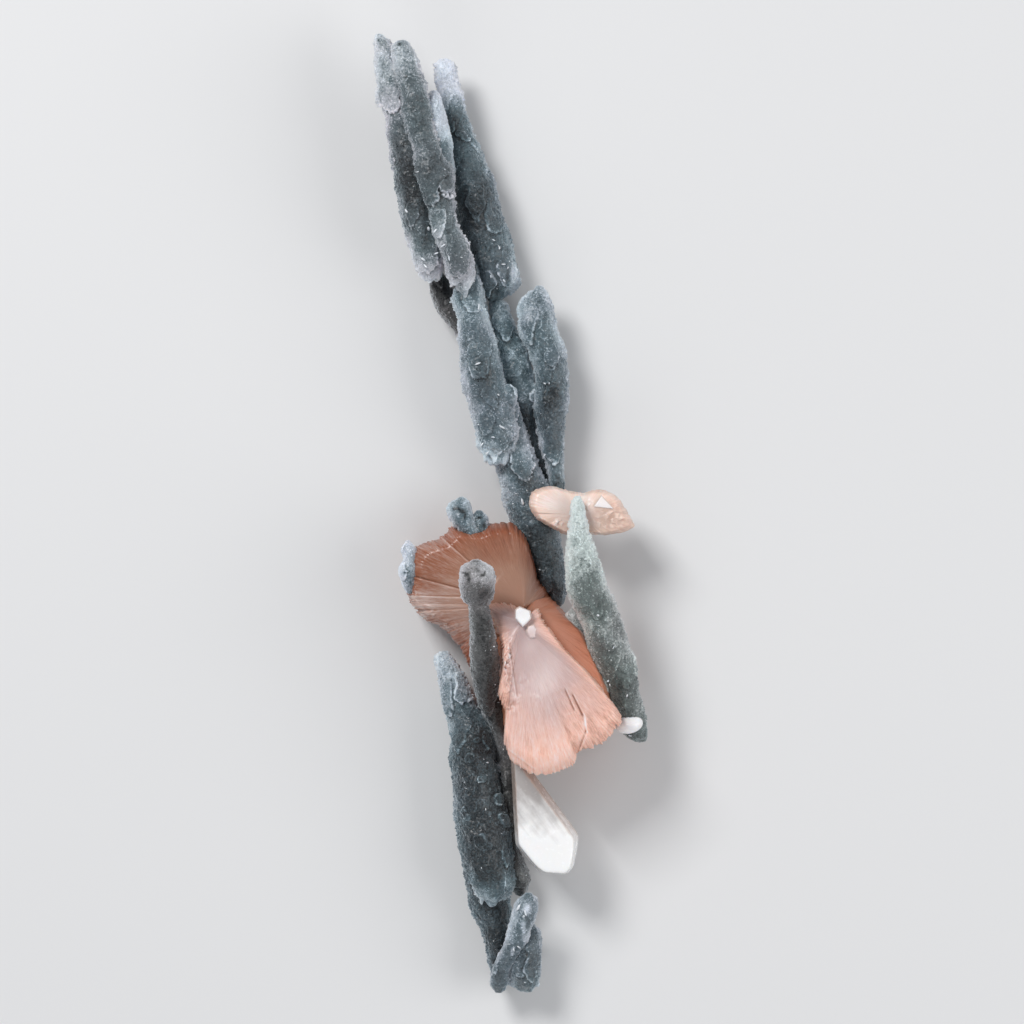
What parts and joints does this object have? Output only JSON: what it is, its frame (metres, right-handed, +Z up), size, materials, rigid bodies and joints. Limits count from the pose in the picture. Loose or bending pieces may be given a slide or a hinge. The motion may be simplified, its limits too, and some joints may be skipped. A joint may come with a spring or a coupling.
{
  "type": "heulandite specimen on chalcedony stalactites",
  "caption": "Slender mineral specimen lying on its back: chalcedony stalactites carrying a peach sheaf of crystals, a small bow-tie sheaf and white crystals.",
  "frame": {"origin": "middle of the specimen's box, on the surface that it lies on", "axes": "+Y along the specimen towards its long tips, +Z up, out of its show side, +X to the right of someone who looks down on it"},
  "size_m": [0.0552, 0.1922, 0.0318],
  "materials": {
    "chalcedony": "drusy, glittering",
    "dark_chalcedony": "drusy, dark grey brown",
    "green_chalcedony": "drusy, pale grey green",
    "peach_crystal": "finely ribbed, pearly",
    "white_crystal": "satin, translucent"
  },
  "bodies": {
    "root": {"left_top_stalactites": "chalcedony", "right_top_stalactite": "chalcedony", "back_stub": "dark_chalcedony", "main_stem": "chalcedony", "middle_finger": "chalcedony", "side_stalactite": "chalcedony", "small_sheaf": "peach_crystal", "right_stalactite": "green_chalcedony", "white_oval_crystal": "white_crystal", "large_sheaf": "peach_crystal", "small_white_crystal": "white_crystal", "knobbed_stalactite": "chalcedony", "left_edge_finger": "chalcedony", "top_stub": "chalcedony", "lower_left_stalactite": "chalcedony", "lower_back_stalactite": "dark_chalcedony", "white_crystal": "white_crystal", "bottom_finger": "chalcedony", "bottom_lump": "chalcedony"}
  },
  "joints": []
}
